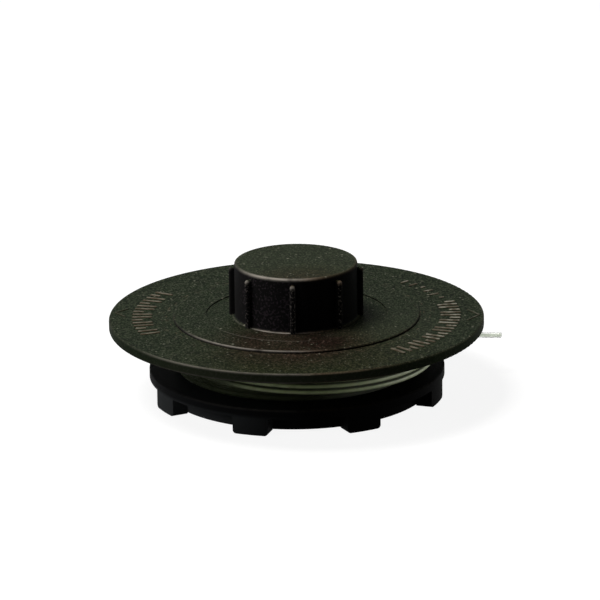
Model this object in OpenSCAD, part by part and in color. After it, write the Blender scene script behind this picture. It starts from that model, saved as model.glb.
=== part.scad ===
// Spare line spool of a bump-feed trimmer head, with its nylon line wound on.
// The spool is one moulding: a hollow knob, a wide flange, a drum, a lower flange
// and a skirt with drive lugs, on which it stands.
// Millimetres, +Z up. The origin is on the spool's axis, at the level of the lugs' feet.
// The front of the spool faces -Y, and the angles of lugs and ribs start there.

/* [Wide flange] */
// Outside diameter of the wide flange
flange_d = 105; // [96:1:120]
// Thickness of the wide flange
flange_t = 2.8; // [2:0.1:4]
// Radius along both rim edges of the wide flange
rim_edge = 0.4; // [0.2:0.1:0.8]

/* [Raised ring] */
// Outside diameter of the raised ring on the wide flange
ring_d = 69; // [64:1:74]
// Diameter of the shallow dish inside the raised ring
dish_d = 50.8; // [46:0.2:56]
// Height of the raised ring over the flange's face
ring_h = 0.7; // [0.5:0.1:1.2]
// Height of the dish's floor over the flange's face
dish_h = 0.4; // [0.1:0.1:0.4]
// Radius along the raised ring's outer edge
ring_edge = 0.3; // [0.1:0.05:0.4]

/* [Knob] */
// Diameter of the knob's plain wall
knob_d = 34.4; // [32:0.2:38]
// Height of the knob's top over the flange's face
knob_h = 15.9; // [12:0.1:20]
// Thickness of the knob's wall
knob_wall = 2.2; // [1.8:0.1:3]
// Thickness of the knob's roof
knob_roof = 2.4; // [1.8:0.1:3.5]
// Radius along the knob's top edge
knob_edge = 0.6; // [0.3:0.1:1]
// Radius of the fillet round the knob's foot
knob_fillet = 0.7; // [0.4:0.1:1.1]

/* [Grip ribs] */
// Number of ribs round the knob
rib_count = 8; // [6:1:12]
// Width of a rib
rib_w = 1.5; // [1:0.1:2.2]
// How far a rib stands out of the knob's wall
rib_out = 1.6; // [1.2:0.1:2.2]
// Drop from the knob's top to the top of a rib
rib_drop = 1.6; // [1:0.1:4]
// Angle of the first rib from the front
rib_turn = -3.25; // [-20:0.25:20]

/* [Spring pocket] */
// Clear diameter between the stiffeners inside the knob
pocket_d = 24; // [20:0.5:26]
// Thickness of a stiffener inside the knob
stiffener_t = 1.6; // [1:0.1:2.4]
// Height of a stiffener's foot over the shoulder at the end of the bore
stiffener_lift = 1.2; // [0.6:0.1:4]

/* [Drum] */
// Outside diameter of the drum that the line is wound on
drum_d = 44; // [42:0.5:50]
// Diameter of the bore that runs on the head's post
bore_d = 38; // [35:0.5:40]
// Height of the line channel between the flanges
channel_h = 11.4; // [9:0.2:16]
// Diameter of the hole that holds the line's inner end
anchor_d = 3; // [2.6:0.1:4]
// Angle of the anchor hole from the front
anchor_turn = 200; // [160:5:240]

/* [Lower flange] */
// Outside diameter of the lower flange and of the lugs
low_flange_d = 82.8; // [80:0.4:92]
// Thickness of the lower flange
low_flange_t = 2.6; // [2:0.1:3.6]
// Radius along the lower flange's upper edge
low_edge = 0.4; // [0.2:0.1:0.8]

/* [Skirt and lugs] */
// Outside diameter of the skirt under the lower flange
skirt_d = 74; // [70:0.5:77]
// Thickness of the skirt
skirt_wall = 2.4; // [1.6:0.1:3.5]
// Height of the skirt's lower edge over the lugs' feet
skirt_lift = 0.7; // [0.4:0.1:1.5]
// Number of drive lugs
lug_count = 8; // [6:1:10]
// Width of a lug
lug_w = 10.2; // [8:0.1:13]
// Height of a lug under the lower flange
lug_h = 5; // [4:0.1:8]
// Radius of a lug's lower corners
lug_corner = 1; // [0.5:0.1:1.5]
// Angle of the first lug from the front
lug_turn = 26.4; // [0:0.1:45]

/* [Line] */
// Diameter of the nylon line
line_d = 1.6; // [1.3:0.1:2.4]
// Diameter over the tightly wound layers
pack_d = 67.6; // [60:0.2:70]
// Number of loose outer turns
loose_turns = 3; // [1:1:4]
// Clear gap between two loose turns
loose_gap = 0.08; // [0.05:0.01:0.2]
// How far the loose turns have slid off centre
loose_shift = 2.2; // [1:0.1:2.6]
// Direction in which they have slid, from the +X axis
loose_heading = -37; // [-90:1:0]
// Tilt of the loose turns, lower on the side they have slid to
loose_tilt = 2.4; // [0:0.1:2.6]
// Clearance between the highest loose turn and the wide flange
loose_top_gap = 0.7; // [0.2:0.1:1]
// How deep a loose turn is bedded in the tight layers where it touches them
bedding = 0.5; // [0.3:0.05:0.6]
// Angle at which the line leaves its last turn, from the +X axis
leave_angle = 60; // [50:1:70]
// Running gap between the tight layers and the drum
wind_gap = 0.1; // [0.05:0.05:0.2]

/* [Hidden] */
$fn = 96;
// Overlap of two solids that are joined in one moulding
join = 0.5;
// Cutters run this far past a face
past = 1;
skirt_h = lug_h - skirt_lift;
low_top = lug_h + low_flange_t;
flange_low = low_top + channel_h;
flange_top = flange_low + flange_t;
knob_top = flange_top + knob_h;
flange_r = flange_d / 2;
knob_r = knob_d / 2;
low_r = low_flange_d / 2;
bore_r = bore_d / 2;
drum_r = drum_d / 2;
pack_r = pack_d / 2;
line_r = line_d / 2;
cavity_r = knob_r - knob_wall;
roof_low = knob_top - knob_roof;
// The bore ends at a shoulder on which the knob's wall and the flange meet
bore_end = flange_low;
// Turns of the tight layers that fit between the flanges
pack_turns = floor(channel_h / line_d);
pack_pitch = channel_h / pack_turns;
loose_r = pack_r + loose_shift + line_r - bedding;
loose_rise = (loose_r + line_r) * sin(loose_tilt);
loose_pitch = line_d + loose_gap;
loose_top = flange_low - loose_top_gap - line_r - loose_rise;
// The last turn stops this many degrees short of a full turn
last_turn_gap = 14;
// Route of the line's free end, from the last turn to its cut end
tail_points = [
    [20, 30.05, 12.8],
    [26, 26.6, 12.3],
    [33, 22.8, 11.5],
    [40, 19.7, 10.8],
    [46, 17.6, 10.4],
    [52, 16, 10.2],
    [58, 15, 10.4],
];
// The line's section is drawn with this many flats
line_sides = 8;

spool_colour = [0.17, 0.19, 0.16];
line_colour = [0.62, 0.66, 0.54];

// Places its children at an angle counted from the front of the spool
module at_angle(turn) {
    rotate([0, 0, turn - 90]) children();
}

// Section of a plate from the axis to radius r, with its upper rim edge rounded
module plate_section(r, low, high, edge) {
    translate([0, low]) square([r, high - low - edge]);
    translate([0, low]) square([r - edge, high - low]);
    translate([r - edge, high - edge]) circle(r = edge);
}

// Section of the wide flange, rounded along both rim edges
module flange_section() {
    middle = (flange_low + flange_top) / 2;
    plate_section(flange_r, middle, flange_top, rim_edge);
    translate([0, 2 * middle]) mirror([0, 1]) plate_section(flange_r, middle, flange_top, rim_edge);
}

// Concave fillet between an upright wall at radius r and a floor at height low
module fillet_section(r, low, size) {
    difference() {
        translate([r - join, low - join]) square(size + join);
        translate([r + size, low + size]) circle(r = size);
    }
}

// Half section of everything that is turned about the axis, without its hollows
module outer_section() {
    flange_section();
    difference() {
        plate_section(ring_d / 2, flange_top - join, flange_top + ring_h, ring_edge);
        translate([-past, flange_top + dish_h]) square([dish_d / 2 + past, ring_h + past]);
    }
    plate_section(knob_r, flange_low, knob_top, knob_edge);
    fillet_section(knob_r, flange_top + dish_h, knob_fillet);
    translate([0, lug_h]) square([drum_r, channel_h + low_flange_t + join]);
    plate_section(low_r, lug_h, low_top, low_edge);
    translate([skirt_d / 2 - skirt_wall, skirt_lift]) square([skirt_wall, skirt_h + join]);
}

// The bore for the head's post and the hollow of the knob above it
module hollows() {
    translate([0, 0, -past]) cylinder(r = bore_r, h = bore_end + past);
    translate([0, 0, bore_end - past]) cylinder(r = cavity_r, h = roof_low - bore_end + past);
}

// An upright grip rib with a round outer edge and a domed top
module grip_rib() {
    crown_r = rib_w / 2;
    centre_r = knob_r + rib_out - crown_r;
    crown_z = knob_top - rib_drop - crown_r;
    root_r = knob_r - join;
    translate([centre_r, 0, flange_top]) cylinder(r = crown_r, h = crown_z - flange_top, $fn = 32);
    translate([centre_r, 0, crown_z]) sphere(r = crown_r, $fn = 32);
    translate([root_r, -crown_r, flange_top])
        cube([centre_r - root_r, rib_w, crown_z - flange_top]);
    translate([root_r, 0, crown_z]) rotate([0, 90, 0])
        cylinder(r = crown_r, h = centre_r - root_r, $fn = 32);
}

// An upright stiffener inside the knob, which also centres the head's spring
module stiffener() {
    foot = bore_end + stiffener_lift;
    translate([pocket_d / 2, -stiffener_t / 2, foot])
        cube([cavity_r + join - pocket_d / 2, stiffener_t, roof_low + join - foot]);
}

// Front view of a lug, with its two lower corners rounded
module lug_outline() {
    translate([-lug_w / 2, lug_corner]) square([lug_w, lug_h + join - lug_corner]);
    translate([lug_corner - lug_w / 2, 0]) square([lug_w - 2 * lug_corner, lug_corner]);
    for (side = [-1, 1])
        translate([side * (lug_w / 2 - lug_corner), lug_corner]) circle(r = lug_corner, $fn = 32);
}

// A drive lug between the skirt and the lower flange's rim
module lug() {
    lug_root = skirt_d / 2 - join;
    translate([lug_root, 0, 0]) rotate([90, 0, 90])
        linear_extrude(low_r - lug_root + past) lug_outline();
}

module lugs() {
    intersection() {
        union() {
            for (i = [0 : lug_count - 1]) at_angle(lug_turn + i * 360 / lug_count) lug();
        }
        cylinder(r = low_r, h = low_top - join, $fn = 180);
    }
}

module spool() {
    color(spool_colour)
    difference() {
        union() {
            difference() {
                union() {
                    rotate_extrude($fn = 180) outer_section();
                    lugs();
                }
                hollows();
            }
            for (i = [0 : rib_count - 1]) at_angle(rib_turn + i * 360 / rib_count) {
                grip_rib();
                stiffener();
            }
        }
        at_angle(anchor_turn) translate([bore_r - past, 0, low_top + channel_h / 2])
            rotate([0, 90, 0]) cylinder(d = anchor_d, h = drum_r - bore_r + 2 * past, $fn = 32);
    }
}

// Section of the line: eight flats, with flats to the sides, above and below
module line_section() {
    rotate(180 / line_sides) circle(d = line_d / cos(180 / line_sides), $fn = line_sides);
}

// Section through the tight layers: a solid pack whose outer layer shows its turns
module pack_section() {
    inner_r = drum_r + wind_gap;
    translate([inner_r, low_top]) square([pack_r - line_r - inner_r, channel_h]);
    for (i = [0 : pack_turns - 1])
        translate([pack_r - line_r, low_top + (i + 0.5) * pack_pitch]) line_section();
}

// A loose turn of the line, whole or open by the given angle
module loose_turn(height, open = 0) {
    translate([0, 0, height]) rotate([0, 0, loose_heading]) translate([loose_shift, 0, 0])
        rotate([0, loose_tilt, 0]) rotate([0, 0, leave_angle - loose_heading])
            rotate_extrude(angle = 360 - open, $fn = 180)
                translate([loose_r, 0]) line_section();
}

// The line's inner end, bent inwards through the anchor hole of the drum
module inner_end() {
    end_r = (bore_r + drum_r) / 2;
    at_angle(anchor_turn) translate([end_r, 0, low_top + channel_h / 2]) rotate([0, 90, 0])
        cylinder(d = line_d, h = drum_r + wind_gap + join - end_r, $fn = 32);
}

module line_winding() {
    color(line_colour) {
        rotate_extrude($fn = 180) pack_section();
        for (i = [0 : loose_turns - 1])
            loose_turn(loose_top - i * loose_pitch, i == loose_turns - 1 ? last_turn_gap : 0);
        inner_end();
    }
}

// Direction of a route at its point i
function heading(points, i) =
    let (last = len(points) - 1, way = points[min(i + 1, last)] - points[max(i - 1, 0)])
    way / norm(way);

// Ring of points round a route's point i, square to the route
function ring_at(points, i, radius, sides) =
    let (along = heading(points, i), side_raw = cross(along, [0, 0, 1]),
        side = side_raw / norm(side_raw), up = cross(side, along))
    [for (k = [0 : sides - 1]) let (a = k * 360 / sides)
        points[i] + radius * (cos(a) * side + sin(a) * up)];

// Closed tube swept along a route of points
module tube(points, radius, sides) {
    rings = len(points);
    skin = [for (i = [0 : rings - 1]) each ring_at(points, i, radius, sides)];
    walls = [for (i = [0 : rings - 2], k = [0 : sides - 1])
        let (a = i * sides + k, b = i * sides + (k + 1) % sides)
        [a, b, b + sides, a + sides]];
    first_end = [for (k = [sides - 1 : -1 : 0]) k];
    last_end = [for (k = [0 : sides - 1]) (rings - 1) * sides + k];
    polyhedron(skin, concat(walls, [first_end, last_end]), convexity = 4);
}

module line_tail() {
    color(line_colour) tube(tail_points, line_r, line_sides);
}

spool();
line_winding();
line_tail();
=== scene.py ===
"""Looks of a trimmer line spool: moulded nylon, wound line, rubbed raised marks, and the studio round it.

Lengths are in metres, angles in degrees. The spool stands on its lugs with its axis along +Z, and the
front of the spool faces -Y. Angles called a turn are counted from the front towards the right.
"""
import math

import bpy
import numpy as np
from mathutils import Matrix, Vector


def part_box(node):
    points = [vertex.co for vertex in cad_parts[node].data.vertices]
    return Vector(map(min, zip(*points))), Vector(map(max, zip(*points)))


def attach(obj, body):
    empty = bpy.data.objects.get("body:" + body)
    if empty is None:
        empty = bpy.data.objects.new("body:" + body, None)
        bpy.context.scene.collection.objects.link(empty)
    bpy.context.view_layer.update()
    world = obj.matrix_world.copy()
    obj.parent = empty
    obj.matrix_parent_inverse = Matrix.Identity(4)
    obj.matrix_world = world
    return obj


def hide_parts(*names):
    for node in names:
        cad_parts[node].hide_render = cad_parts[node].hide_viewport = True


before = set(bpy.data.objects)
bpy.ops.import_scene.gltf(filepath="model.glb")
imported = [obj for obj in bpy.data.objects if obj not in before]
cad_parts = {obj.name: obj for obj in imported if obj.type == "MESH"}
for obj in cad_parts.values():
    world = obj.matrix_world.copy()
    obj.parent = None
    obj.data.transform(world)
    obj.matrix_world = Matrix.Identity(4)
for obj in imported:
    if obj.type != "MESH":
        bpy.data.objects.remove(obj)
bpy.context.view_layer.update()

MM = 0.001
BODY = "root"
SPOOL_SLOT = "spool_nylon"
LINE_SLOT = "cutting_line"

# Heights and radii of the spool, as its solid has them
SPOOL_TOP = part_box("spool")[1].z
FLANGE_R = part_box("spool")[1].y
FLANGE_LOW = 19 * MM
FLANGE_TOP = 21.8 * MM
RING_R = 34.5 * MM
RING_TOP = 22.5 * MM
DISH_R = 25.4 * MM
DISH_TOP = 22.2 * MM
KNOB_R = 17.2 * MM
RIB_REACH = 18.8 * MM
LUG_TOP = 5 * MM
LOW_FLANGE_R = 41.4 * MM
LOW_FLANGE_TOP = 7.6 * MM
CHANNEL = FLANGE_LOW - LOW_FLANGE_TOP

# The nylon line and its winding, from the same sizes as the solids
LINE_R = 0.8 * MM
DRUM_R = 22.1 * MM
PACK_R = 33.8 * MM
TIGHT_R = PACK_R - LINE_R
TIGHT_TURNS = int(CHANNEL / (2 * LINE_R))
LOOSE_TURNS = 3
LOOSE_GAP = 0.08 * MM
LOOSE_SHIFT = 2.2 * MM
LOOSE_HEADING = -37
LOOSE_TILT = 2.4
LOOSE_TOP_GAP = 0.7 * MM
BEDDING = 0.5 * MM
LOOSE_R = PACK_R + LOOSE_SHIFT + LINE_R - BEDDING
LOOSE_RISE = (LOOSE_R + LINE_R) * math.sin(math.radians(LOOSE_TILT))
LOOSE_PITCH = 2 * LINE_R + LOOSE_GAP
LOOSE_TOP = FLANGE_LOW - LOOSE_TOP_GAP - LINE_R - LOOSE_RISE
LEAVE_ANGLE = 60
STEPS_PER_TURN = 168
LINE_SIDES = 14

# Route of the free end, the same points as in the part's source
TAIL_POINTS = np.array([
    [20, 30.05, 12.8],
    [26, 26.6, 12.3],
    [33, 22.8, 11.5],
    [40, 19.7, 10.8],
    [46, 17.6, 10.4],
    [52, 16, 10.2],
    [58, 15, 10.4],
]) * MM

# Colours, linear
NYLON_GREEN = (0.0131, 0.0206, 0.0101, 1)
NYLON_DARK = (0.0062, 0.0076, 0.0053, 1)
NYLON_LIGHT = (0.0400, 0.0450, 0.0295, 1)
# Painted shade: upright faces inside the rim, on the left
NYLON_SHADED_SIDE = (0.0120, 0.0113, 0.0118, 1)
NYLON_LOW = (0.0180, 0.0185, 0.0195, 1)
# Painted light: the lugs' colour, which the painted shade darkens towards the right
NYLON_LIT_LUG = (0.0920, 0.0970, 0.0990, 1)
# Painted shade: black on the right, on upright faces and below the wide flange
NYLON_SHADED_BLACK = (0.0018, 0.0018, 0.0019, 1)
SIDE_GRAIN = (0.0420, 0.0330, 0.0385, 1)
FRONT_GRAIN = (0.1150, 0.0760, 0.0600, 1)
DUST = (0.200, 0.195, 0.150, 1)
# Rubbed edges, partly painted highlights: grey on the left, brown on the right; the brown also colours real
# rubbed streaks
RUBBED_GREY_AND_HIGHLIGHT = (0.370, 0.335, 0.290, 1)
RUBBED_BROWN_AND_HIGHLIGHT = (0.235, 0.165, 0.115, 1)
MARK_BROWN = (0.075, 0.056, 0.036, 1)
MARK_PALE = (0.260, 0.245, 0.195, 1)
LINE_PALE = (0.76, 0.81, 0.71, 1)
LINE_SHADE = (0.56, 0.61, 0.48, 1)
WOUND_PALE = (0.70, 0.81, 0.45, 1)
WOUND_SHADE = (0.54, 0.63, 0.33, 1)
# Painted shade in the winding's grooves, on its inner layers and on its lower turns at the front left
LINE_PAINTED_SHADE = (0.030, 0.040, 0.014, 1)

# Tints that the green nylon is multiplied by where it is browner; the darker one is also the knob's painted
# shadow
BROWN_WIDE = (0.93, 0.81, 0.66, 1)
BROWN_NEAR = (0.98, 0.62, 0.82, 1)
BROWN_AND_KNOB_SHADOW = (0.58, 0.50, 0.55, 1)
BROWN_TOP = (1.00, 0.86, 0.74, 1)

# Spots of the finish and of painted light, in millimetres: the middle, how far the spot is full, how far it
# reaches, and the share of it that is left beyond, where there is one
PALE_RING = ((27, -12, 22.5), 7, 20)
# Painted reflection on the rim's upright face, strongest at its front left
RIM_REFLECTION_SPOT = ((-10, -51, 20.5), 16, 46, 0.08)
PALE_MARKS = ((44, 4, 22), 16, 40, 0.35)
GRAINY_DISH = ((2, -27, 22.4), 8, 22)
GRAINY_SIDE = ((-8.5, -15, 30), 6, 12.5, 0.05)
# Grain and painted highlight on the front ribs
GRAINY_LIT_RIBS = ((0, -18.8, 34), 12, 24, 0.10)
# Spots where the rubbed edges and their painted highlights are strongest, towards the front
WORN_AND_LIT_KNOB = ((-5.5, -16.3, 36.5), 2, 16.5, 0.10)
WORN_AND_LIT_RIBS = ((0, -18.8, 35), 14, 30, 0.15)
WORN_AND_LIT_FOOT = ((-5, -17.8, 22.3), 3, 13, 0.10)
WORN_AND_LIT_RING = ((-14, -31.5, 22.5), 8, 27, 0.05)
WORN_AND_LIT_RIM = ((-12, -51.5, 21.8), 18, 45, 0.10)

# Brown spots of the nylon and their tints; the one at the knob's front right is also its painted shadow
BROWN_SPOTS = [
    (((4, -40, 22), 14, 48), BROWN_WIDE),
    (((-1, -26, 24), 9, 27), BROWN_NEAR),
    (((7, -26, 22.4), 3, 11), BROWN_AND_KNOB_SHADOW),
    (((3, -16, SPOOL_TOP / MM), 4, 17), BROWN_TOP),
]

# Rubbed edges, which also carry painted highlights: radius, height, how wide the rubbed band is, how strong
# it is, and the spot where it is strongest
WORN_AND_LIT_EDGES = [
    (KNOB_R - 0.25 * MM, SPOOL_TOP - 0.2 * MM, 0.9 * MM, 0.9, WORN_AND_LIT_KNOB),
    (RIB_REACH, SPOOL_TOP - 2 * MM, 1.2 * MM, 0.5, WORN_AND_LIT_RIBS),
    (KNOB_R + 0.6 * MM, DISH_TOP + 0.1 * MM, 0.5 * MM, 1.0, WORN_AND_LIT_FOOT),
    (RING_R, RING_TOP, 0.7 * MM, 0.65, WORN_AND_LIT_RING),
    (DISH_R, RING_TOP, 0.5 * MM, 0.2, WORN_AND_LIT_RING),
    (FLANGE_R, FLANGE_TOP, 0.8 * MM, 0.35, WORN_AND_LIT_RIM),
    (FLANGE_R, FLANGE_LOW, 0.7 * MM, 0.3, WORN_AND_LIT_RIM),
    (LOW_FLANGE_R, LOW_FLANGE_TOP, 0.8 * MM, 0.08, WORN_AND_LIT_RIM),
]


# Mesh building

def smooth(value):
    """Eases from 0 to 1: three times the square less twice the cube, held at 0 and 1 outside."""
    value = np.clip(value, 0, 1)
    return value * value * (3 - 2 * value)


def make_piece(name, points, faces, material, slot):
    """A shaded piece from an array of points and a list of faces, riding on the spool."""
    mesh = bpy.data.meshes.new(name)
    mesh.from_pydata(points.tolist(), [], faces)
    mesh.polygons.foreach_set("use_smooth", np.ones(len(mesh.polygons), bool))
    mesh.materials.append(material)
    mesh.update()
    piece = bpy.data.objects.new(name, mesh)
    bpy.context.scene.collection.objects.link(piece)
    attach(piece, BODY)
    return piece


def grid_faces(rows, columns):
    """Faces of a skin whose columns close on themselves: each joins a point, the next one in its row, and
    the two above them."""
    row, column = np.meshgrid(np.arange(rows - 1), np.arange(columns), indexing="ij")
    after = (column + 1) % columns
    low = row * columns
    high = low + columns
    faces = np.stack([low + column, low + after, high + after, high + column], axis=-1)
    return faces.reshape(-1, 4).tolist()


def cap_faces(rows, columns):
    """The two flat ends of such a skin, each one face over its first or last row, facing outwards."""
    first = list(range(columns))[::-1]
    last = list(range((rows - 1) * columns, rows * columns))
    return [first, last]


def tube(path, radii, sides):
    """Round skin along a path: each ring's point is the path plus the radius times the cosine of its angle
    along the side direction and the sine along the upward one, both square to the path."""
    along = np.gradient(path, axis=0)
    along /= np.linalg.norm(along, axis=1, keepdims=True)
    side = np.cross(along, [0, 0, 1])
    side /= np.linalg.norm(side, axis=1, keepdims=True)
    up = np.cross(side, along)
    angle = np.linspace(0, 2 * math.pi, sides, endpoint=False)
    ring = np.cos(angle)[None, :, None] * side[:, None] + np.sin(angle)[None, :, None] * up[:, None]
    points = path[:, None] + radii[:, None, None] * ring
    faces = grid_faces(len(path), sides) + cap_faces(len(path), sides)
    return points.reshape(-1, 3), faces


def turned(profile, steps):
    """Ring with a closed section: each profile point, a radius and a height, is carried round the axis."""
    angle = np.linspace(0, 2 * math.pi, steps, endpoint=False)
    radius, height = np.asarray(profile, float).T
    points = np.stack([
        np.cos(angle)[:, None] * radius,
        np.sin(angle)[:, None] * radius,
        np.broadcast_to(height, (steps, len(height))),
    ], axis=-1)
    count = len(profile)
    row, column = np.meshgrid(np.arange(steps), np.arange(count), indexing="ij")
    here = row * count
    there = (row + 1) % steps * count
    after = (column + 1) % count
    faces = np.stack([here + column, there + column, there + after, here + after], axis=-1)
    return points.reshape(-1, 3), faces.reshape(-1, 4).tolist()


def joined(*skins):
    """Several skins as one: their points in a row, and each skin's faces moved on by the points before."""
    points, faces, start = [], [], 0
    for skin_points, skin_faces in skins:
        points.append(skin_points)
        faces += [[start + corner for corner in face] for face in skin_faces]
        start += len(skin_points)
    return np.concatenate(points), faces


# The line

def ring_place(angle, radius, shift, tilt, height):
    """A point of a tilted ring that is off centre: the circle's point is tilted down on the side that the
    ring has slid to, moved that way by the shift, and turned to its heading."""
    heading = math.radians(LOOSE_HEADING)
    local = np.radians(angle) - heading
    tilt = np.radians(tilt)
    out = radius * np.cos(local) * np.cos(tilt) + shift
    across = radius * np.sin(local)
    rise = height - radius * np.cos(local) * np.sin(tilt)
    return np.stack([
        out * math.cos(heading) - across * math.sin(heading),
        out * math.sin(heading) + across * math.cos(heading),
        rise,
    ], axis=-1)


def winding_path():
    """Centre line of the outer tight layer and the loose turns. Each turn keeps to its own ring and crosses
    over to the next ring within the last fifth of a turn, at the back. The line runs clockwise, seen from
    above."""
    tight = np.arange(TIGHT_TURNS)
    loose = np.arange(LOOSE_TURNS)
    radius = np.r_[np.full(TIGHT_TURNS, TIGHT_R), np.full(LOOSE_TURNS, LOOSE_R)]
    shift = np.r_[np.zeros(TIGHT_TURNS), np.full(LOOSE_TURNS, LOOSE_SHIFT)]
    tilt = np.r_[np.zeros(TIGHT_TURNS), np.full(LOOSE_TURNS, LOOSE_TILT)]
    tight_height = LOW_FLANGE_TOP + (tight + 0.5) * CHANNEL / TIGHT_TURNS
    height = np.r_[tight_height, LOOSE_TOP - loose * LOOSE_PITCH]

    turns = TIGHT_TURNS + LOOSE_TURNS
    travel = np.linspace(0, turns, turns * STEPS_PER_TURN + 1)
    turn = np.minimum(travel.astype(int), turns - 1)
    after = np.minimum(turn + 1, turns - 1)
    cross_start, cross_length = 0.78, 0.2
    weight = smooth((travel - turn - cross_start) / cross_length)[:, None]
    angle = LEAVE_ANGLE + 360 * (turns - travel)
    here = ring_place(angle, radius[turn], shift[turn], tilt[turn], height[turn])
    there = ring_place(angle, radius[after], shift[after], tilt[after], height[after])
    path = here * (1 - weight) + there * weight

    # The layer starts a line's thickness deeper, where it comes up out of the layers beneath
    rising, depth = 0.2, 1.5 * MM
    inwards = depth * (1 - smooth(travel / rising))
    path[:, :2] *= (1 - inwards / np.hypot(path[:, 0], path[:, 1]))[:, None]
    # The loose turns wave a little, all alike, and are true again at the free end
    wave_height = 0.1 * MM
    wave = np.sin(np.radians(2 * (angle - LEAVE_ANGLE))) * smooth(travel - TIGHT_TURNS)
    path[:, 2] += wave_height * wave
    return path


def smooth_route(points, steps):
    """Catmull-Rom curve through the points: each stretch is the cubic whose ends have the slope between
    their neighbours."""
    padded = np.vstack([2 * points[0] - points[1], points, 2 * points[-1] - points[-2]])
    before, start, end, after = (padded[i:len(padded) - 3 + i, None] for i in range(4))
    t = np.linspace(0, 1, steps, endpoint=False)[None, :, None]
    curve = 0.5 * (2 * start + (end - before) * t + (2 * before - 5 * start + 4 * end - after) * t ** 2
                   + (3 * start - before - 3 * end + after) * t ** 3)
    return np.vstack([curve.reshape(-1, 3), points[-1]])


def make_wound_line(material):
    """The winding as it looks: the inner layers as one core, whose surface lies behind the ridges of the
    outer layer, and the outer layer and the loose turns as one line."""
    path = winding_path()
    line = tube(path, np.full(len(path), LINE_R), LINE_SIDES)
    gap, behind = 0.03 * MM, 0.7 * LINE_R
    low, high = LOW_FLANGE_TOP + gap, FLANGE_LOW - gap
    core_r = TIGHT_R - behind
    core = turned([(DRUM_R, low), (core_r, low), (core_r, high), (DRUM_R, high)], steps=128)
    piece = make_piece("wound_line", *joined(line, core), material, LINE_SLOT)
    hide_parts("line_winding")
    return piece


def make_free_end(material):
    """The free end of the line, cut square with a slightly rounded edge."""
    fine = smooth_route(TAIL_POINTS, steps=16)
    end_share = 0.86
    radii = np.full(len(fine), LINE_R)
    radii[-1] *= end_share
    piece = make_piece("free_end", *tube(fine, radii, LINE_SIDES), material, LINE_SLOT)
    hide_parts("line_tail")
    return piece


# Raised marks on the wide flange

def bars(centres, directions, lengths, width, height):
    """Raised bars with round ends and a crowned top. The outline of each is a stadium, and its rows carry
    it upwards and inwards to a flat crown."""
    sides = 20
    angle = np.linspace(0, 2 * math.pi, sides, endpoint=False)
    sink = 0.12 * MM
    insets = np.array([0, 0, 0.16, 0.42]) * width
    levels = np.array([-sink, 0.45 * height, 0.85 * height, height])
    radius = width / 2 - insets
    end = np.sign(np.cos(angle))
    faces = grid_faces(len(levels), sides) + cap_faces(len(levels), sides)
    skins = []
    for centre, direction, length in zip(centres, directions, lengths):
        along = np.array([math.cos(direction), math.sin(direction)])
        across = np.array([-along[1], along[0]])
        reach = (length - width) / 2 * end + radius[:, None] * np.cos(angle)
        wide = radius[:, None] * np.sin(angle)
        flat = centre + reach[..., None] * along + wide[..., None] * across
        high = np.broadcast_to(FLANGE_TOP + levels[:, None, None], flat.shape[:2] + (1,))
        points = np.concatenate([flat, high], axis=-1).reshape(-1, 3)
        skins.append((points, faces))
    return joined(*skins)


def ring_bars(first, last, count, inner, outer, width, height, short):
    """Radial bars at even angles, where each third one starts almost half-way out."""
    turns = np.radians(np.linspace(first, last, count) - 90)
    place = np.arange(count)
    cut_share = 0.45
    start = np.where(place % 3 == short, inner + cut_share * (outer - inner), inner)
    middle = (start + outer) / 2
    centres = np.stack([middle * np.cos(turns), middle * np.sin(turns)], axis=-1)
    return bars(centres, turns, outer - start, width, height)


def arrow_bars(turn, apex, wing, spread, width, height):
    """Two bars that meet in a point near the rim and run back from it on both sides."""
    facing = math.radians(turn - 90)
    tip = apex * np.array([math.cos(facing), math.sin(facing)])
    legs = facing + math.pi + np.radians([-spread, spread])
    ends = np.stack([np.cos(legs), np.sin(legs)], axis=-1)
    centres = tip + ends * wing / 2
    return bars(centres, legs, np.full(2, wing + width), width, height)


def make_rim_marks(material):
    """Plain raised bars in three groups, with an arrow on the left and one on the right."""
    inner, outer = 40.3 * MM, 46.1 * MM
    back_inner, back_outer = inner + 1.2 * MM, outer - 1.6 * MM
    width, height = 1.05 * MM, 0.26 * MM
    narrow, thin = 0.7 * width, 0.5 * MM
    # Each group's first and last turn, and how many bars it has
    left, right, back = (-120, -70, 16), (40, 104, 21), (110, 134, 6)
    # Each arrow's turn, how far out its point is, how long its wings are, and how far they spread
    right_arrow = (88, 51.2 * MM, 5.8 * MM, 55)
    left_arrow = (-95, 51.0 * MM, 4.6 * MM, 48)
    skins = joined(
        ring_bars(*left, inner, outer, width, height, short=1),
        ring_bars(*right, inner, outer, width, height, short=2),
        ring_bars(*back, back_inner, back_outer, narrow, height, short=0),
        arrow_bars(*right_arrow, thin, height),
        arrow_bars(*left_arrow, thin, height),
    )
    return make_piece("rim_marks", *skins, material, SPOOL_SLOT)


# Shader parts

def add(tree, kind, inputs=None, **settings):
    """A node with its settings, and each named input linked to a socket or set to a value."""
    node = tree.nodes.new(kind)
    for key, value in settings.items():
        setattr(node, key, value)
    for key, value in (inputs or {}).items():
        if isinstance(value, bpy.types.NodeSocket):
            tree.links.new(value, node.inputs[key])
        else:
            node.inputs[key].default_value = value
    return node


def maths(tree, operation, first, second=0.0):
    """Result of one sum on two values or sockets."""
    return add(tree, "ShaderNodeMath", {0: first, 1: second}, operation=operation).outputs[0]


def product(tree, value, *others):
    """A value multiplied by each of the others."""
    for other in others:
        value = maths(tree, "MULTIPLY", value, other)
    return value


def largest(tree, value, *others):
    """The largest of several values."""
    for other in others:
        value = maths(tree, "MAXIMUM", value, other)
    return value


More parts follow.
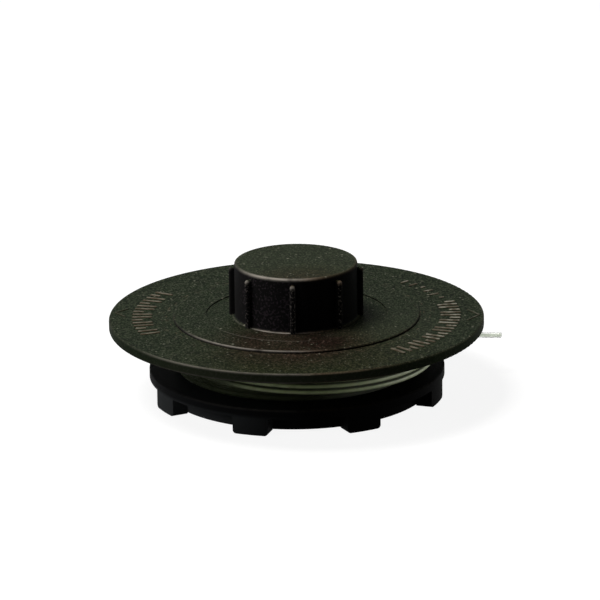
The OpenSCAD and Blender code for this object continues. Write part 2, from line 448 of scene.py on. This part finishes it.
def blend(tree, factor, first, second, way="MIX"):
    """Colour between two colours, or the first one multiplied by the second."""
    inputs = {0: factor, 6: first, 7: second}
    return add(tree, "ShaderNodeMix", inputs, data_type="RGBA", blend_type=way).outputs[2]


def ramp(tree, value, low, high, start=0.0, end=1.0):
    """A value eased from start to end as it goes from low to high."""
    inputs = {"Value": value, "From Min": low, "From Max": high, "To Min": start, "To Max": end}
    return add(tree, "ShaderNodeMapRange", inputs, interpolation_type="SMOOTHSTEP").outputs[0]


def noise(tree, place, scale, detail=2.0):
    """Noise between 0 and 1 at a place."""
    return add(tree, "ShaderNodeTexNoise", {"Vector": place, "Scale": scale, "Detail": detail}).outputs[0]


def axes(tree, vector):
    """The X, Y and Z of a place or direction."""
    return add(tree, "ShaderNodeSeparateXYZ", {0: vector}).outputs


def axis_distance(tree, place):
    """Distance of a place from the spool's axis."""
    flat = add(tree, "ShaderNodeVectorMath", {0: place, 1: (1, 1, 0)}, operation="MULTIPLY").outputs[0]
    return add(tree, "ShaderNodeVectorMath", {0: flat}, operation="LENGTH").outputs["Value"]


def near(tree, place, middle, full, reach, least=0.0):
    """Mask of a spot given in millimetres: 1 within the full distance, and the least value past its
    reach."""
    middle = tuple(value * MM for value in middle)
    away = add(tree, "ShaderNodeVectorMath", {0: place, 1: middle}, operation="DISTANCE").outputs["Value"]
    return ramp(tree, away, reach * MM, full * MM, least, 1.0)


def upward(tree):
    """1 on faces that look up, 0 on upright ones."""
    normal = tree.nodes.new("ShaderNodeTexCoord").outputs["Normal"]
    return ramp(tree, axes(tree, normal)["Z"], 0.3, 0.9)


# Effects that the materials share

def new_group(name, inputs, output):
    """An empty node group with named inputs and one output. Returns the group, its inputs and output."""
    group = bpy.data.node_groups.new(name, "ShaderNodeTree")
    for label, value in inputs.items():
        kind = "NodeSocketVector" if value is None else "NodeSocketFloat"
        socket = group.interface.new_socket(label, in_out="INPUT", socket_type=kind)
        if value is not None:
            socket.default_value = value
    group.interface.new_socket(output, in_out="OUTPUT", socket_type="NodeSocketFloat")
    return group, group.nodes.new("NodeGroupInput").outputs, group.nodes.new("NodeGroupOutput").inputs


def use(tree, group, **inputs):
    """Output of a node group placed in a material."""
    node = tree.nodes.new("ShaderNodeGroup")
    node.node_tree = group
    for key, value in inputs.items():
        label = key.replace("_", " ")
        if isinstance(value, bpy.types.NodeSocket):
            tree.links.new(value, node.inputs[label])
        else:
            node.inputs[label].default_value = value
    return node.outputs[0]


def edge_group():
    """Mask of a turned edge: 1 on the circle with the edge's radius and height, 0 at the width away."""
    inputs = {"Place": None, "Edge radius": 0.0, "Edge height": 0.0, "Width": 0.001}
    group, given, out = new_group("turned edge", inputs, "Mask")
    height = axes(group, given["Place"])["Z"]
    out_by = maths(group, "SUBTRACT", axis_distance(group, given["Place"]), given["Edge radius"])
    up_by = maths(group, "SUBTRACT", height, given["Edge height"])
    squares = maths(group, "ADD", product(group, out_by, out_by), product(group, up_by, up_by))
    away = maths(group, "SQRT", squares)
    group.links.new(ramp(group, away, given["Width"], 0.0), out["Mask"])
    return group


def speck_group():
    """Mask of small round specks: the middle of a Voronoi cell, in the share of cells whose random value is
    low. A second random value varies their size."""
    inputs = {"Place": None, "Scale": 700.0, "Share": 0.3, "Size": 0.25}
    group, given, out = new_group("specks", inputs, "Mask")
    cells = add(group, "ShaderNodeTexVoronoi", {"Vector": given["Place"], "Scale": given["Scale"]})
    random = add(group, "ShaderNodeSeparateColor", {0: cells.outputs["Color"]})
    chosen = maths(group, "LESS_THAN", random.outputs[0], given["Share"])
    smallest = 0.3
    size = product(group, given["Size"], maths(group, "ADD", random.outputs[1], smallest))
    dot = ramp(group, cells.outputs["Distance"], size, 0.0)
    group.links.new(product(group, dot, chosen), out["Mask"])
    return group


def patch_group():
    """Mask of rubbed patches: noise above a threshold, with a soft border."""
    inputs = {"Place": None, "Scale": 150.0, "Threshold": 0.5, "Border": 0.1}
    group, given, out = new_group("patches", inputs, "Mask")
    value = noise(group, given["Place"], given["Scale"], detail=4.0)
    top = maths(group, "ADD", given["Threshold"], given["Border"])
    group.links.new(ramp(group, value, given["Threshold"], top), out["Mask"])
    return group


def grain_group():
    """Height of a fine moulded grain: two noises, the finer one half as strong."""
    group, given, out = new_group("moulded grain", {"Place": None, "Scale": 2500.0}, "Height")
    finer = 2.3
    coarse = noise(group, given["Place"], given["Scale"], detail=1.0)
    fine = noise(group, given["Place"], product(group, given["Scale"], finer), detail=1.0)
    group.links.new(maths(group, "ADD", coarse, product(group, fine, 0.5)), out["Height"])
    return group


def streak_group():
    """Mask of short rubbed streaks along circles round the axis: noise that is long in angle and narrow in
    radius."""
    group, given, out = new_group("rubbed streaks", {"Place": None, "Threshold": 0.6}, "Mask")
    per_metre, per_radian, border = 1600.0, 9.0, 0.08
    parts = axes(group, given["Place"])
    angle = product(group, maths(group, "ARCTAN2", parts["Y"], parts["X"]), per_radian)
    radius = product(group, axis_distance(group, given["Place"]), per_metre)
    wound = add(group, "ShaderNodeCombineXYZ", {0: radius, 1: angle}).outputs[0]
    value = noise(group, wound, scale=1.0, detail=3.0)
    top = maths(group, "ADD", given["Threshold"], border)
    group.links.new(ramp(group, value, given["Threshold"], top), out["Mask"])
    return group


# Finish of the nylon

def new_material(name):
    """An empty material with a Principled surface. Returns it, its tree, its surface and Object
    coordinates."""
    material = bpy.data.materials.new(name)
    material.use_nodes = True
    tree = material.node_tree
    surface = tree.nodes["Principled BSDF"]
    place = tree.nodes.new("ShaderNodeTexCoord").outputs["Object"]
    return material, tree, surface, place


def mottled(tree, place, facing_up):
    """Green-black with slow shades and a fine mottle of light and dark, which is weak on upright faces."""
    shade = ramp(tree, noise(tree, place, scale=240.0, detail=5.0), 0.35, 0.7, end=0.35)
    colour = blend(tree, shade, NYLON_GREEN, NYLON_DARK)
    mottle = noise(tree, place, scale=1900.0, detail=3.0)
    strength = ramp(tree, facing_up, 0.0, 1.0, start=0.15)
    light = product(tree, ramp(tree, mottle, 0.5, 0.63), strength)
    dark = product(tree, ramp(tree, mottle, 0.5, 0.37), strength)
    return blend(tree, dark, blend(tree, light, colour, NYLON_LIGHT), NYLON_DARK)


def browned(tree, place, colour):
    """The colour with a brown tint at each brown spot, a little cloudy. The spot at the knob's front right
    is both brown and the knob's painted shadow.
    """
    cloud = ramp(tree, noise(tree, place, scale=90.0, detail=3.0), 0.3, 0.6, start=0.75)
    for spot, tint in BROWN_SPOTS:
        brown = product(tree, near(tree, place, *spot), cloud)
        colour = blend(tree, brown, colour, tint, "MULTIPLY")
    return colour


def paled(tree, place, colour):
    """The colour a little paler on the knob's top and on the right of the ring."""
    top_share, ring_share = 0.22, 0.13
    top = ramp(tree, axes(tree, place)["Z"], SPOOL_TOP - 0.8 * MM, SPOOL_TOP, end=top_share)
    ring = product(tree, near(tree, place, *PALE_RING), ring_share)
    return blend(tree, largest(tree, top, ring), colour, NYLON_LIGHT)


def sides_shade_and_rim_reflection(tree, place, colour, upright):
    """The colour with painted shade, darker on upright faces inside the wide flange's rim and black on the
    right, and with a painted reflection on the rim's upright face, palest at its front left."""
    side_share, rim_share = 0.95, 0.5
    out = axis_distance(tree, place)
    side = blend(tree, ramp(tree, axes(tree, place)["X"], -4 * MM, 6 * MM), NYLON_SHADED_SIDE, NYLON_SHADED_BLACK)
    inside = ramp(tree, out, 40 * MM, 48 * MM, start=side_share, end=0.0)
    colour = blend(tree, product(tree, upright, inside), colour, side)
    rim = product(tree, ramp(tree, out, 50 * MM, 52 * MM), upright, rim_share)
    rim = product(tree, rim, near(tree, place, *RIM_REFLECTION_SPOT))
    return blend(tree, rim, colour, NYLON_LIGHT)


def low_nylon_lit_and_shaded(tree, place):
    """Neutral colour below the wide flange, with painted light that makes the lugs palest and painted shade
    that turns it black towards the right.
    """
    parts = axes(tree, place)
    on_lugs = ramp(tree, parts["Z"], LUG_TOP + MM, LUG_TOP - 0.5 * MM)
    colour = blend(tree, on_lugs, NYLON_LOW, NYLON_LIT_LUG)
    return blend(tree, ramp(tree, parts["X"], -40 * MM, 6 * MM), colour, NYLON_SHADED_BLACK)


def dusted(tree, specks, place, colour, facing_up, above):
    """The colour with brown grain in front of the knob and pale dust, both on faces that look up."""
    grain_share, dust_share = 0.55, 0.7
    grain = use(tree, specks, Place=place, Scale=1000.0, Share=0.6, Size=0.45)
    grain = product(tree, grain, near(tree, place, *GRAINY_DISH), facing_up, grain_share)
    colour = blend(tree, grain, colour, FRONT_GRAIN)
    common = use(tree, specks, Place=place, Scale=620.0, Share=0.3, Size=0.26)
    fine = use(tree, specks, Place=place, Scale=1300.0, Share=0.24, Size=0.32)
    coarse = use(tree, specks, Place=place, Scale=330.0, Share=0.35, Size=0.15)
    dust = largest(tree, product(tree, largest(tree, common, fine), dust_share), coarse)
    return blend(tree, product(tree, dust, facing_up, above), colour, DUST)


def side_grain_and_rib_highlight(tree, place, colour, upright, above):
    """The colour with grain on upright faces above the wide flange: dull on the left of the knob's front,
    and rubbed grey on its ribs, which is also a painted highlight."""
    grain = ramp(tree, noise(tree, place, scale=1500.0, detail=3.0), 0.5, 0.66)
    grain = product(tree, grain, upright, above)
    on_side = product(tree, grain, near(tree, place, *GRAINY_SIDE))
    colour = blend(tree, on_side, colour, SIDE_GRAIN)
    rib_share = 0.25
    ribs = ramp(tree, axis_distance(tree, place), KNOB_R + 0.8 * MM, KNOB_R + 1.4 * MM, end=rib_share)
    on_ribs = product(tree, grain, ribs, near(tree, place, *GRAINY_LIT_RIBS))
    return blend(tree, on_ribs, colour, RUBBED_GREY_AND_HIGHLIGHT)


def wear_and_highlights(tree, groups, place):
    """Mask of the rubbed edges, in patches. It also carries their painted highlights, strongest towards the
    front.
    """
    worn_and_lit = 0.0
    for radius, height, width, strength, spot in WORN_AND_LIT_EDGES:
        edge = use(tree, groups["edge"], Place=place, Edge_radius=radius, Edge_height=height, Width=width)
        worn_and_lit = largest(tree, worn_and_lit, product(tree, edge, near(tree, place, *spot), strength))
    patches = use(tree, groups["patches"], Place=place, Scale=260.0, Threshold=0.22, Border=0.3)
    unbroken = 0.35
    return product(tree, worn_and_lit, maths(tree, "ADD", unbroken, product(tree, patches, 1 - unbroken)))


def moulded_nylon(groups):
    """Black-green nylon with grain, dust and rubbed edges, and with streaks beside the raised ring. Its
    colour also carries painted shade on upright faces, below the wide flange and beside the knob, painted
    light on the lugs, a painted reflection on the rim and painted highlights on the rubbed edges. It is
    matt, because the white background would show in a gloss."""
    material, tree, surface, place = new_material("moulded_nylon")
    parts = axes(tree, place)
    facing_up = upward(tree)
    upright = maths(tree, "SUBTRACT", 1.0, facing_up)
    low = ramp(tree, parts["Z"], FLANGE_LOW - 0.5 * MM, FLANGE_LOW - 1.5 * MM)
    above = maths(tree, "SUBTRACT", 1.0, low)

    low_share, streak_share = 0.9, 0.2
    # Brown spots, one of them also the knob's painted shadow
    colour = browned(tree, place, mottled(tree, place, facing_up))
    # Painted shade on upright faces, black on the right, and a painted reflection on the rim
    colour = sides_shade_and_rim_reflection(tree, place, paled(tree, place, colour), upright)
    # Below the wide flange: painted light on the lugs and painted shade towards the right
    colour = blend(tree, product(tree, low, low_share), colour, low_nylon_lit_and_shaded(tree, place))
    colour = dusted(tree, groups["specks"], place, colour, facing_up, above)
    # Grain on the sides, and rubbing with a painted highlight on the front ribs
    colour = side_grain_and_rib_highlight(tree, place, colour, upright, above)

    # Rubbed edges with painted highlights, grey on the left and brown on the right
    worn_and_lit = wear_and_highlights(tree, groups, place)
    rubbed = blend(tree, ramp(tree, parts["X"], -2 * MM, 8 * MM), RUBBED_GREY_AND_HIGHLIGHT, RUBBED_BROWN_AND_HIGHLIGHT)
    colour = blend(tree, worn_and_lit, colour, rubbed)
    beside_ring = use(tree, groups["edge"], Place=place, Edge_radius=RING_R + 1.5 * MM,
                      Edge_height=FLANGE_TOP, Width=4 * MM)
    streaks = use(tree, groups["streaks"], Place=place, Threshold=0.6)
    colour = blend(tree, product(tree, streaks, beside_ring, streak_share), colour, RUBBED_BROWN_AND_HIGHLIGHT)

    plain_rough, grain_rough, rubbed_smooth = 0.48, 0.1, 0.2
    grain = use(tree, groups["grain"], Place=place, Scale=2300.0)
    rough = maths(tree, "ADD", plain_rough, product(tree, grain, grain_rough))
    rough = maths(tree, "SUBTRACT", rough, product(tree, worn_and_lit, rubbed_smooth))
    bump = add(tree, "ShaderNodeBump", {"Height": grain, "Strength": 0.35, "Distance": 0.03 * MM})
    tree.links.new(colour, surface.inputs["Base Color"])
    tree.links.new(rough, surface.inputs["Roughness"])
    tree.links.new(bump.outputs[0], surface.inputs["Normal"])
    surface.inputs["Specular IOR Level"].default_value = 0.005
    return material


def rubbed_marks(groups):
    """The same nylon where it stands proud and has been rubbed: brown at the foot of each bar, pale in
    patches on its crown, most on the right, and faint on the arrows near the rim."""
    material, tree, surface, place = new_material("rubbed_marks")
    brown_share, arrow_share, speck_share = 0.8, 0.3, 0.5
    arrows = ramp(tree, axis_distance(tree, place), 46.4 * MM, 47.4 * MM, start=1.0, end=arrow_share)
    colour = blend(tree, product(tree, arrows, brown_share), NYLON_GREEN, MARK_BROWN)
    crown = ramp(tree, axes(tree, place)["Z"], FLANGE_TOP + 0.08 * MM, FLANGE_TOP + 0.24 * MM)
    patches = use(tree, groups["patches"], Place=place, Scale=420.0, Threshold=0.4, Border=0.2)
    unbroken = 0.15
    pale = product(tree, crown, maths(tree, "ADD", unbroken, product(tree, patches, 1 - unbroken)))
    pale = product(tree, pale, arrows, near(tree, place, *PALE_MARKS))
    colour = blend(tree, pale, colour, MARK_PALE)
    specks = use(tree, groups["specks"], Place=place, Scale=1500.0, Share=0.3, Size=0.4)
    colour = blend(tree, product(tree, specks, speck_share), colour, NYLON_DARK)
    tree.links.new(colour, surface.inputs["Base Color"])
    surface.inputs["Roughness"].default_value = 0.55
    surface.inputs["Specular IOR Level"].default_value = 0.02
    return material


# Finish of the line

def winding_painted_shade(tree, place):
    """Mask of painted shade in the grooves between the turns, on the inner layers, and on the lower turns
    at the front left."""
    groove_share, inner_share, lower_share = 0.9, 0.98, 0.9
    normal = tree.nodes.new("ShaderNodeTexCoord").outputs["Normal"]
    steep = maths(tree, "ABSOLUTE", axes(tree, normal)["Z"])
    grooves = ramp(tree, steep, 0.3, 0.85, end=groove_share)
    out = axis_distance(tree, place)
    inner = ramp(tree, out, TIGHT_R + 1.9 * LINE_R, TIGHT_R + 1.1 * LINE_R, end=inner_share)
    parts = axes(tree, place)
    left = ramp(tree, parts["X"], -8 * MM, -22 * MM)
    front = ramp(tree, parts["Y"], -10 * MM, -20 * MM)
    lower = ramp(tree, parts["Z"], 15.2 * MM, 14.4 * MM, end=lower_share)
    return largest(tree, grooves, inner, product(tree, lower, left, front))


def nylon_line(groups, name, clear, wound):
    """Pale grey-green monofilament, slightly glossy, with faint scuffs. Where it is wound it is greener and
    duller, with painted shade in its grooves, on its inner layers and on its lower turns at the front left."""
    material, tree, surface, place = new_material(name)
    scuffs = use(tree, groups["patches"], Place=place, Scale=420.0, Threshold=0.45, Border=0.3)
    pale, shade = (WOUND_PALE, WOUND_SHADE) if wound else (LINE_PALE, LINE_SHADE)
    shade_share, scuff_rough, painted_shade_rough = 0.5, 0.15, 3.0
    colour = blend(tree, product(tree, scuffs, shade_share), pale, shade)
    smoothest = 0.5 if wound else 0.3
    dull = scuffs
    if wound:
        # Painted shade in the grooves, on the inner layers and on the lower front-left turns
        painted_shade = winding_painted_shade(tree, place)
        colour = blend(tree, painted_shade, colour, LINE_PAINTED_SHADE)
        dull = largest(tree, scuffs, product(tree, painted_shade, painted_shade_rough))
        surface.inputs["Specular IOR Level"].default_value = 0.02
    rough = maths(tree, "ADD", smoothest, product(tree, dull, scuff_rough))
    bump = add(tree, "ShaderNodeBump", {"Height": scuffs, "Strength": 0.15, "Distance": 0.05 * MM})
    tree.links.new(colour, surface.inputs["Base Color"])
    tree.links.new(rough, surface.inputs["Roughness"])
    tree.links.new(bump.outputs[0], surface.inputs["Normal"])
    surface.inputs["Transmission Weight"].default_value = clear
    surface.inputs["IOR"].default_value = 1.5
    return material


# Studio

def seen_ray(tree):
    """1 for a ray from the camera, off a gloss or through the clear line: it sees the white background."""
    rays = tree.nodes.new("ShaderNodeLightPath").outputs
    return largest(tree, rays["Is Camera Ray"], rays["Is Transmission Ray"], rays["Is Glossy Ray"])


def make_floor():
    """Pale floor: seen directly, mirrored or through the clear line it is near white with the spool's
    faint shadow, and it bounces little light."""
    half = 2.5
    corners = [(-half, -half, 0), (half, -half, 0), (half, half, 0), (-half, half, 0)]
    mesh = bpy.data.meshes.new("floor")
    mesh.from_pydata(corners, [], [(0, 1, 2, 3)])
    floor = bpy.data.objects.new("floor", mesh)
    bpy.context.scene.collection.objects.link(floor)
    material = bpy.data.materials.new("pale_floor")
    material.use_nodes = True
    tree = material.node_tree
    tree.nodes.clear()
    matt = add(tree, "ShaderNodeBsdfDiffuse", {"Color": (0.20, 0.20, 0.20, 1)})
    glow = add(tree, "ShaderNodeEmission", {"Color": (1, 1, 1, 1), "Strength": 0.90})
    bright = add(tree, "ShaderNodeAddShader", {0: matt.outputs[0], 1: glow.outputs[0]})
    plain = add(tree, "ShaderNodeBsdfDiffuse", {"Color": (0.10, 0.10, 0.10, 1)})
    inputs = {0: seen_ray(tree), 1: plain.outputs[0], 2: bright.outputs[0]}
    seen = add(tree, "ShaderNodeMixShader", inputs)
    add(tree, "ShaderNodeOutputMaterial", {"Surface": seen.outputs[0]})
    mesh.materials.append(material)


def make_world():
    """White where it is seen directly, mirrored or through the clear line, and else a dim grey light."""
    world = bpy.data.worlds.new("studio")
    bpy.context.scene.world = world
    world.use_nodes = True
    tree = world.node_tree
    tree.nodes.clear()
    dim = add(tree, "ShaderNodeBackground", {"Color": (0.95, 0.98, 1, 1), "Strength": 0.03})
    white = add(tree, "ShaderNodeBackground", {"Color": (1, 1, 1, 1), "Strength": 1.0})
    inputs = {0: seen_ray(tree), 1: dim.outputs[0], 2: white.outputs[0]}
    seen = add(tree, "ShaderNodeMixShader", inputs)
    add(tree, "ShaderNodeOutputWorld", {"Surface": seen.outputs[0]})


def make_lamp(name, place, size, power, colour):
    """A soft square lamp at a place, facing the middle of the spool."""
    middle = Vector((0, 0, 20 * MM))
    data = bpy.data.lights.new(name, "AREA")
    data.size = size
    data.energy = power
    data.color = colour
    lamp = bpy.data.objects.new(name, data)
    bpy.context.scene.collection.objects.link(lamp)
    lamp.location = place
    lamp.rotation_euler = (middle - Vector(place)).to_track_quat("-Z", "Y").to_euler()


def make_lamps():
    """A soft lamp overhead and to the left, a weak one on the left, and a low weak one on the right for the
    line."""
    make_lamp("key", (-0.30, 0.06, 0.71), size=0.36, power=6.2, colour=(1, 0.99, 0.97))
    make_lamp("left_fill", (-0.70, -0.38, 0.37), size=0.4, power=1.05, colour=(0.97, 0.98, 1))
    make_lamp("line_fill", (0.88, 0.10, 0.065), size=0.12, power=0.95, colour=(1, 1, 0.95))


def make_camera():
    """Camera at the photograph's viewing angle: long lens, tilted down, with a small roll in radians."""
    elevation = math.radians(17.71)
    distance = 1.6545
    roll = -0.0128
    target = Vector((0, 0, FLANGE_TOP))
    towards = Vector((0, -math.cos(elevation), math.sin(elevation)))
    level_up = Vector((0, math.sin(elevation), math.cos(elevation)))
    level_right = Vector((1, 0, 0))
    right = math.cos(roll) * level_right + math.sin(roll) * level_up
    up = math.cos(roll) * level_up - math.sin(roll) * level_right
    data = bpy.data.cameras.new("camera")
    data.sensor_width = 36
    data.lens = 354.7
    data.shift_x = 0.00602
    data.shift_y = 0.02577
    data.clip_end = 20
    camera = bpy.data.objects.new("camera", data)
    bpy.context.scene.collection.objects.link(camera)
    place = target + distance * towards
    turn = Matrix((right, up, towards)).transposed().to_4x4()
    camera.matrix_world = Matrix.Translation(place) @ turn
    bpy.context.scene.camera = camera


make_camera()
groups = {
    "edge": edge_group(),
    "specks": speck_group(),
    "patches": patch_group(),
    "grain": grain_group(),
    "streaks": streak_group(),
}
make_free_end(nylon_line(groups, "nylon_line", clear=0.7, wound=False))
make_wound_line(nylon_line(groups, "wound_nylon_line", clear=0.2, wound=True))
make_rim_marks(rubbed_marks(groups))
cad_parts["spool"].data.materials.clear()
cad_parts["spool"].data.materials.append(moulded_nylon(groups))
make_floor()
make_world()
make_lamps()
bpy.context.scene.view_settings.view_transform = "Standard"
